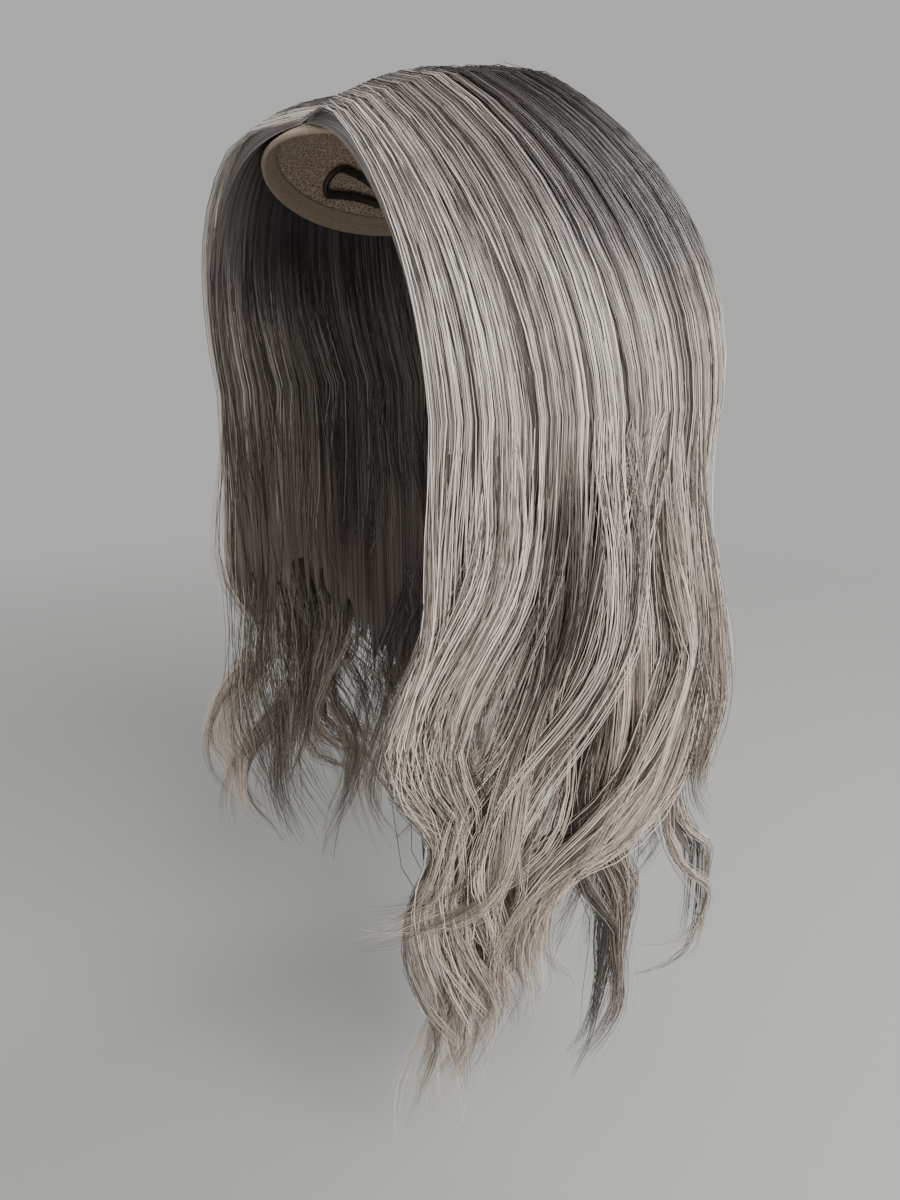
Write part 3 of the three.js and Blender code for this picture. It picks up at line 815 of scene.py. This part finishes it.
def lock_strands(lock, side):
    kind = STRAND_KINDS[lock.get("kind", "own")]
    long_count = int(lock["strands"] * kind["long_share"])
    station, centre, across, out = lock_curve(lock, side)
    wisps = max(FEWEST_WISPS, lock["strands"] // STRANDS_PER_WISP)
    wisp_a = np.sort(rng.uniform(-1, 1, wisps))
    wisp_b = rng.uniform(-1, 1, wisps)
    wisp_tone = rng.normal(0, WISP_TONE_DIFFERS, wisps)
    wisp_tone += rng.choice(WISP_TONES, wisps, p=WISP_TONE_ODDS)
    wisp_sway = np.clip(rng.normal(0, WISP_SWAY, (wisps, 2)), -WISP_SWAY_MOST, WISP_SWAY_MOST)
    wisp_swing = rng.normal(0, WISP_SWING, wisps)
    wisp_phase = rng.uniform(0, 2 * math.pi, (wisps, 2))
    wisp_length = rng.uniform(*WISP_LENGTHS, wisps)
    wisp_from = rng.normal(*GATHER_FROM, wisps)
    wisp_to = rng.normal(*GATHER_TO, wisps)
    # Painted highlight: one edge of the lock lighter, the other darker.
    edge_highlight = rng.choice([-1, 1]) * EDGE_PAINTED_HIGHLIGHT
    lock_length = np.linalg.norm(np.diff(centre, axis=0), axis=1).sum()
    wisp_wave = kind["wave_share"] * lock["width"] * rng.normal(1, WAVE_DIFFERS, wisps)
    wave_phase = rng.uniform(0, 2 * math.pi) + WAVE_DRIFT * wisp_a
    wave_phase = wave_phase + rng.normal(0, WAVE_DRIFT_DIFFERS, wisps)
    batches = []
    for count, arc_points, late in (
        (long_count, LONG_ARC_POINTS, False), (lock["strands"] - long_count, LATE_ARC_POINTS, True),
    ):
        if count == 0:
            continue
        fall_points = kind["fall_points"]
        own = np.sort(rng.integers(0, wisps, count))
        apart = rng.normal(0, kind["spread"], count)
        b = wisp_b[own] + rng.normal(0, STRAND_PROUD, count)
        length = wisp_length[own] * rng.uniform(*STRAND_LENGTHS, count)
        length = np.clip(length, *STRAND_LENGTH_LIMITS)
        order = np.argsort(np.argsort(wisp_a[own] + apart + rng.normal(0, STRAND_ORDER, count)))
        low, high = lock["feed"]
        azimuth = low + (high - low) * (order + rng.uniform(0, 1, count)) / count
        azimuth = np.clip(azimuth, side["front"], BACK_SEAM)
        root_azimuth = azimuth + rng.normal(0, STRAND_ROOT_SHIFT, count)
        if late:
            start = rng.uniform(*kind["starts"], (count, 1))
        else:
            at_root = rng.uniform(0, 1, (count, 1)) < LONG_ROOT_SHARE
            start = np.where(at_root, 0.0, rng.uniform(0, LONG_LATEST_ROOT, (count, 1)))
        t = start + (1 - start) * np.linspace(0, 1, arc_points)[None, :]
        if late:
            last_depth = rng.uniform(*kind["depths"], (count, 1))
            depth = kind["first_depth"] + (last_depth - kind["first_depth"]) * smooth(t, start, 1)
        else:
            depth = rng.uniform(*LONG_DEPTHS, (count, 1)) + 0 * t
        arc = combed_points(azimuth, root_azimuth, t, depth, side)
        members = np.maximum(np.bincount(own, minlength=wisps), 1)
        wisp_azimuth = np.bincount(own, azimuth, wisps) / members + wisp_swing
        drawn = WISP_DRAW * (wisp_azimuth[own] - azimuth)[:, None] * smooth(t, WISP_DRAW_FROM, 1)
        arc = turned(arc, side["sign"] * drawn)
        v = length[:, None] * np.linspace(STRAND_FALL_FROM, 1, fall_points)[None, :]
        middle, over, outward = (read_along(v, station, table) for table in (centre, across, out))
        narrowed = 1.0 - LOCK_GATHER * smooth(v, *LOCK_GATHER_FALLS)
        narrowed -= LOCK_NARROW * smooth(v, *LOCK_NARROW_FALLS)
        half_width = 0.5 * lock["width"] * narrowed
        half_thick = 0.5 * lock["thick"] * (1.0 - LOCK_THIN * smooth(v, *LOCK_THIN_FALLS))
        a = wisp_a[own][:, None] + apart[:, None] * (1 - WISP_POINT * smooth(v, *WISP_POINT_FALLS))
        sway_turn = WISP_SWAY_TURN * v[..., None] + wisp_phase[own][:, None, :]
        sway = wisp_sway[own][:, None, :] * np.sin(sway_turn)
        loose = np.where(rng.uniform(0, 1, (count, 1, 1)) < LOOSE_SHARE, LOOSE_SIZE, 1.0)
        stray_turn = STRAY_TURN * v[..., None] + rng.uniform(0, FULL_TURN, (count, 1, 2))
        stray_size = np.clip(rng.normal(0, 1, (count, 1, 2)), -STRAY_MOST, STRAY_MOST)
        stray = loose * stray_size * np.sin(stray_turn)
        frizz_size = FRIZZ_SIZE * rng.normal(0, 1, (count, 1, 2))
        frizz_turn = FRIZZ_TURN * v[..., None] + rng.uniform(0, FULL_TURN, (count, 1, 2))
        shift = (sway + stray + frizz_size * np.sin(frizz_turn)) * smooth(v, *STRAY_FALLS)[..., None]
        wave_turn = 2 * math.pi * lock_length / WAVE_LENGTH * v + wave_phase[own][:, None]
        wave = wisp_wave[own][:, None] * np.interp(v, WAVE_FALLS, WAVE_SIZES)
        sideways = a * half_width + shift[..., 0] + wave * np.sin(wave_turn)
        proud = b[:, None] * half_thick + OUTWARD_SHARE * (shift[..., 1] + wave * np.cos(wave_turn))
        gathered = middle + over * sideways[..., None] + outward * proud[..., None]
        hanging = np.concatenate([np.repeat(arc[:, -1:, :2], fall_points, 1), middle[..., 2:]], -1)
        weight = smooth(-middle[..., 2], wisp_from[own][:, None], wisp_to[own][:, None])[..., None]
        points = np.concatenate([arc, hanging + (gathered - hanging) * weight], 1)
        # Strands deep in a lock are painted darker and proud ones lighter, as painted shade.
        streak = WISP_TONE_SHARE * wisp_tone[own] + edge_highlight * wisp_a[own] + DEPTH_PAINTED_SHADE * b
        streak = streak + rng.normal(0, STRAND_TONE_DIFFERS, count)
        fall = np.concatenate([ARC_SHARE * t, ARC_SHARE + (1 - ARC_SHARE) * v], 1)
        behind = smooth(azimuth, *ROOT_DARK_AZIMUTHS)[:, None]
        root_dark = ROOT_DARK[0] + (ROOT_DARK[1] - ROOT_DARK[0]) * behind
        rooted = root_dark * (1 - smooth(fall, *ROOT_DARK_FALLS))
        tones = lock["tone"] + streak[:, None] * (1 - rooted) - rooted
        tones -= TIP_DARK * smooth(fall, *TIP_DARK_FALLS)
        # Locks with a shaded value are painted darker over a stretch below the ears: painted shade in the
        # gap between locks.
        tones -= lock.get("shaded", 0) * np.interp(fall, SHADED_FALLS, SHADED_SIZES)
        radii = rng.uniform(*STRAND_RADII, count)
        batches.append((points, np.clip(tones, *TONE_LIMITS), fall, radii))
    return batches


def strand_paths(name, batches):
    paths = bpy.data.meshes.new(name + "_paths")
    points, edges, start = [], [], 0
    values = {"tone": [], "along": [], "strand_radius": []}
    for strands, tones, fall, radii in batches:
        count, stations = strands.shape[:2]
        taper = np.interp(np.linspace(0, 1, stations), TAPER_PLACES, TAPER_SIZES)
        points.append(strands.reshape(-1, 3))
        first = np.arange(count)[:, None] * stations + np.arange(stations - 1)[None, :]
        first = start + first.reshape(-1)
        edges.append(np.stack([first, first + 1], -1))
        values["tone"].append(tones.reshape(-1))
        values["along"].append(fall.reshape(-1))
        values["strand_radius"].append((radii[:, None] * taper[None, :]).reshape(-1) * MM)
        start += count * stations
    points = np.concatenate(points) * MM
    edges = np.concatenate(edges)
    paths.vertices.add(len(points))
    paths.vertices.foreach_set("co", points.reshape(-1).astype(np.float32))
    paths.edges.add(len(edges))
    paths.edges.foreach_set("vertices", edges.reshape(-1).astype(np.int32))
    for label, arrays in values.items():
        field = paths.attributes.new(label, "FLOAT", "POINT")
        field.data.foreach_set("value", np.concatenate(arrays).astype(np.float32))
    return paths


def strand_tree():
    tree = bpy.data.node_groups.new("strand_tubes", "GeometryNodeTree")
    face = tree.interface
    face.new_socket("Paths", in_out="INPUT", socket_type="NodeSocketGeometry")
    face.new_socket("Sides", in_out="INPUT", socket_type="NodeSocketInt")
    face.new_socket("Chart Width", in_out="INPUT", socket_type="NodeSocketFloat")
    face.new_socket("Finish", in_out="INPUT", socket_type="NodeSocketMaterial")
    face.new_socket("Strands", in_out="OUTPUT", socket_type="NodeSocketGeometry")
    node, link = tree.nodes.new, tree.links.new
    given, result = node("NodeGroupInput"), node("NodeGroupOutput")

    def attribute(name):
        reader = node("GeometryNodeInputNamedAttribute")
        reader.data_type = "FLOAT"
        reader.inputs["Name"].default_value = name
        return reader.outputs["Attribute"]

    path = node("GeometryNodeMeshToCurve")
    link(given.outputs["Paths"], path.inputs["Mesh"])
    ring = node("GeometryNodeCurvePrimitiveCircle")
    ring.inputs["Radius"].default_value = 1
    link(given.outputs["Sides"], ring.inputs["Resolution"])
    around = node("GeometryNodeStoreNamedAttribute")
    around.inputs["Name"].default_value = "around"
    link(ring.outputs["Curve"], around.inputs["Geometry"])
    link(node("GeometryNodeSplineParameter").outputs["Factor"], around.inputs["Value"])
    tube = node("GeometryNodeCurveToMesh")
    tube.inputs["Fill Caps"].default_value = True
    link(path.outputs["Curve"], tube.inputs["Curve"])
    link(around.outputs["Geometry"], tube.inputs["Profile Curve"])
    link(attribute("strand_radius"), tube.inputs["Scale"])
    across = node("ShaderNodeMath")
    across.operation = "MULTIPLY_ADD"
    link(attribute("around"), across.inputs[0])
    link(given.outputs["Chart Width"], across.inputs[1])
    link(attribute("tone"), across.inputs[2])
    place = node("ShaderNodeCombineXYZ")
    link(across.outputs["Value"], place.inputs["X"])
    link(attribute("along"), place.inputs["Y"])
    chart = node("GeometryNodeStoreNamedAttribute")
    chart.data_type = "FLOAT2"
    chart.domain = "CORNER"
    chart.inputs["Name"].default_value = "OFBake"
    link(tube.outputs["Mesh"], chart.inputs["Geometry"])
    link(place.outputs["Vector"], chart.inputs["Value"])
    soften = node("GeometryNodeSetShadeSmooth")
    link(chart.outputs["Geometry"], soften.inputs["Geometry"])
    whole = node("GeometryNodeRealizeInstances")
    link(soften.outputs["Geometry"], whole.inputs["Geometry"])
    finish = node("GeometryNodeSetMaterial")
    link(whole.outputs["Geometry"], finish.inputs["Geometry"])
    link(given.outputs["Finish"], finish.inputs["Material"])
    link(finish.outputs["Geometry"], result.inputs["Strands"])
    return tree


def strand_piece(name, batches, tree, finish):
    values = {"Sides": STRAND_SIDES, "Chart Width": STRAND_CHART_WIDTH, "Finish": finish}
    piece = made_piece(name, strand_paths(name, batches), tree, values)
    for label in ("tone", "along", "strand_radius", "around"):
        if label in piece.data.attributes:
            piece.data.attributes.remove(piece.data.attributes[label])
    return piece


def wall_core(side):
    azimuth = np.linspace(side["front"] + CORE_FRONT_INSET, CORE_SEAM, CORE_COLUMNS)
    t = np.tile(np.linspace(0.0, 1, CORE_ROWS), (CORE_COLUMNS, 1))
    rag = np.clip(rng.normal(0, CORE_HEM_RAG, CORE_COLUMNS), -CORE_HEM_LONGEST, CORE_HEM_LONGEST)
    hem = np.interp(azimuth, CORE_HEM_AZIMUTHS, CORE_HEM_DROPS) + rag
    share = np.linspace(0, 1, CORE_HANG_ROWS + 1)[1:]
    skins = []
    for depth in CORE_DEPTHS:
        rough = rng.normal(0, CORE_UNEVEN, (CORE_COLUMNS, 1))
        front = smooth(azimuth - side["front"], 0, CORE_FRONT_TAPER)[:, None]
        level = CORE_DEPTHS[1] + (depth + rough - CORE_DEPTHS[1]) * front
        arc = combed_points(azimuth, azimuth, t, level + 0 * t, side)
        hang = np.repeat(arc[:, -1:], CORE_HANG_ROWS, 1)
        hang[..., 2] = -(CROWN_FORM[2] + (hem[:, None] - CROWN_FORM[2]) * share[None, :])
        skins.append(np.concatenate([arc, hang], 1))
    outer, inner = skins
    rows = CORE_ROWS + CORE_HANG_ROWS
    close = CORE_HEM_CLOSE * smooth(np.arange(rows), CORE_ROWS - 1, rows - 1)[None, :, None]
    outer = outer + (inner - outer) * close
    rings = np.concatenate([outer, inner[:, ::-1]], 1)
    faces = ring_faces(CORE_COLUMNS, 2 * rows, False)
    last = (CORE_COLUMNS - 1) * 2 * rows
    for i in range(rows - 1):
        far = 2 * rows - 1 - i
        faces.append((i, i + 1, far - 1, far))
        faces.append((last + i, last + i + 1, last + far - 1, last + far))
    across = np.repeat(np.radians(azimuth) * CROWN_FORM[0], 2 * rows) / CHART_MM
    down = np.concatenate([ARC_SHARE * t[0], ARC_SHARE + CORE_HANG_SHARE * share])
    down = np.tile(np.concatenate([down, down[::-1]]), CORE_COLUMNS)
    return rings.reshape(-1, 3), faces, across, down


def lock_core(lock, side, place):
    station, centre, across, out = lock_curve(lock, side)
    v = np.linspace(CORE_BEGIN, CORE_END, CORE_RINGS)
    middle, over, outward = (read_along(v, station, table) for table in (centre, across, out))
    turn = np.linspace(0, 2 * math.pi, CORE_SIDES, endpoint=False)
    grow = smooth(-middle[:, 2], CORE_FROM, CORE_FULL)
    narrowing = np.sqrt(np.maximum(1 - (v / CORE_END) ** 2, 0))
    size = CORE_SHARE * np.maximum(grow * narrowing, CORE_LEAST)
    wide = 0.5 * lock["width"] * size[:, None] * np.cos(turn)[None, :]
    deep = 0.5 * lock["thick"] * size[:, None] * np.sin(turn)[None, :]
    rings = middle[:, None] + over[:, None] * wide[..., None] + outward[:, None] * deep[..., None]
    faces = ring_faces(CORE_RINGS, CORE_SIDES, False)
    last = (CORE_RINGS - 1) * CORE_SIDES
    faces.append(tuple(range(CORE_SIDES)))
    faces.append(tuple(last + i for i in range(CORE_SIDES)))
    around = np.tile(np.abs(turn / math.pi - 1) * lock["width"] / CHART_MM + place, CORE_RINGS)
    down = np.repeat(ARC_SHARE + (1 - ARC_SHARE) * v, CORE_SIDES)
    return rings.reshape(-1, 3), faces, around, down


def core_mesh(name, shells):
    points, faces, chart_u, chart_v = [], [], [], []
    start = 0
    for shell_points, shell_faces, u, v in shells:
        points.append(shell_points)
        faces += [tuple(start + i for i in face) for face in shell_faces]
        chart_u.append(u)
        chart_v.append(v)
        start += len(shell_points)
    mesh = closed_mesh(name, np.concatenate(points), faces)
    corners = np.empty(len(mesh.loops), np.int32)
    mesh.loops.foreach_get("vertex_index", corners)
    chart = np.stack([np.concatenate(chart_u), np.concatenate(chart_v)], -1)[corners]
    mesh.uv_layers.new(name="OFBake").data.foreach_set("uv", chart.reshape(-1).astype(np.float32))
    return mesh


def chart_node(tree):
    chart = tree.nodes.new("ShaderNodeUVMap")
    chart.uv_map = "OFBake"
    return chart.outputs["UV"]


def mix_node(tree, blend, first, second, factor=None):
    node = tree.nodes.new("ShaderNodeMix")
    node.data_type = "RGBA"
    node.blend_type = blend
    node.inputs["Factor"].default_value = 1
    tree.links.new(first, node.inputs["A"])
    tree.links.new(second, node.inputs["B"])
    if factor is not None:
        tree.links.new(factor, node.inputs["Factor"])
    return node.outputs["Result"]


def multiply_node(tree, first, second):
    return mix_node(tree, "MULTIPLY", first, second)


def hair_material():
    material, tree, shader = new_material("ash_grey_hair")
    split = tree.nodes.new("ShaderNodeSeparateXYZ")
    tree.links.new(chart_node(tree), split.inputs["Vector"])
    tone = ramp_node(tree, split.outputs["X"], TONE_STOPS)
    hue = ramp_node(tree, split.outputs["Y"], HUE_STOPS)
    tree.links.new(multiply_node(tree, tone, hue), shader.inputs["Base Color"])
    shader.inputs["Roughness"].default_value = HAIR_ROUGHNESS
    shader.inputs["IOR"].default_value = HAIR_REFRACTION
    return material


def streak_node(tree, chart, across, along):
    stretch = tree.nodes.new("ShaderNodeMapping")
    stretch.inputs["Scale"].default_value = (across, along, 1)
    tree.links.new(chart, stretch.inputs["Vector"])
    streak = tree.nodes.new("ShaderNodeTexNoise")
    streak.noise_dimensions = "2D"
    streak.inputs["Scale"].default_value = 1
    streak.inputs["Detail"].default_value = STREAK_DETAIL
    streak.inputs["Roughness"].default_value = STREAK_ROUGHNESS
    tree.links.new(stretch.outputs["Vector"], streak.inputs["Vector"])
    return streak.outputs["Fac"]


def core_material():
    material, tree, shader = new_material("dense_under_hair")
    chart = chart_node(tree)
    fine = streak_node(tree, chart, *CORE_FINE_STREAKS)
    wisp = streak_node(tree, chart, *CORE_WISP_STREAKS)
    blend = tree.nodes.new("ShaderNodeMath")
    blend.operation = "MULTIPLY_ADD"
    blend.inputs[1].default_value = CORE_WISP_SHARE
    tree.links.new(wisp, blend.inputs[0])
    tree.links.new(fine, blend.inputs[2])
    split = tree.nodes.new("ShaderNodeSeparateXYZ")
    tree.links.new(chart, split.inputs["Vector"])
    # Painted shade: the body is darker than the strands over it, and darker again down its length below the
    # ears.
    colour = ramp_node(tree, blend.outputs["Value"], CORE_STOPS)
    shade = ramp_node(tree, split.outputs["Y"], CORE_SHADE_STOPS)
    toned = multiply_node(tree, colour, shade)
    root_shade = ramp_node(tree, split.outputs["X"], CORE_ROOT_STOPS)
    roots = multiply_node(tree, toned, root_shade)
    fade = tree.nodes.new("ShaderNodeMapRange")
    fade.interpolation_type = "SMOOTHSTEP"
    fade.inputs["From Min"].default_value = ROOT_DARK_FALLS[0]
    fade.inputs["From Max"].default_value = ROOT_DARK_FALLS[1]
    tree.links.new(split.outputs["Y"], fade.inputs["Value"])
    grown = mix_node(tree, "MIX", roots, toned, fade.outputs["Result"])
    tree.links.new(grown, shader.inputs["Base Color"])
    shader.inputs["Roughness"].default_value = CORE_ROUGHNESS
    add_bump(tree, shader, fine, *CORE_BUMP)
    return material


hair_finish = hair_material()
core_finish = core_material()
tubes = strand_tree()
for side in SIDES:
    node = "hair_" + side["name"]
    locks = list(side["locks"])
    for group in LOCK_GROUPS:
        if group["sign"] == side["sign"]:
            locks += [ruled_lock(group, index, side) for index in range(group["count"])]
    shells = [wall_core(side)]
    for index, lock in enumerate(locks):
        if lock["piece"] != "under":
            shells.append(lock_core(lock, side, index / (2 * len(locks))))
    core = new_object(node + "_core", core_mesh(node + "_core", shells))
    core.data.materials.append(core_finish)
    finish_piece(core, "hair", node)
    for label in ("front", "side", "back", "under"):
        batches = []
        for lock in locks:
            if lock["piece"] == label:
                batches += lock_strands(lock, side)
        if batches:
            piece = strand_piece(f"{node}_{label}", batches, tubes, hair_finish)
            finish_piece(piece, "hair", node)
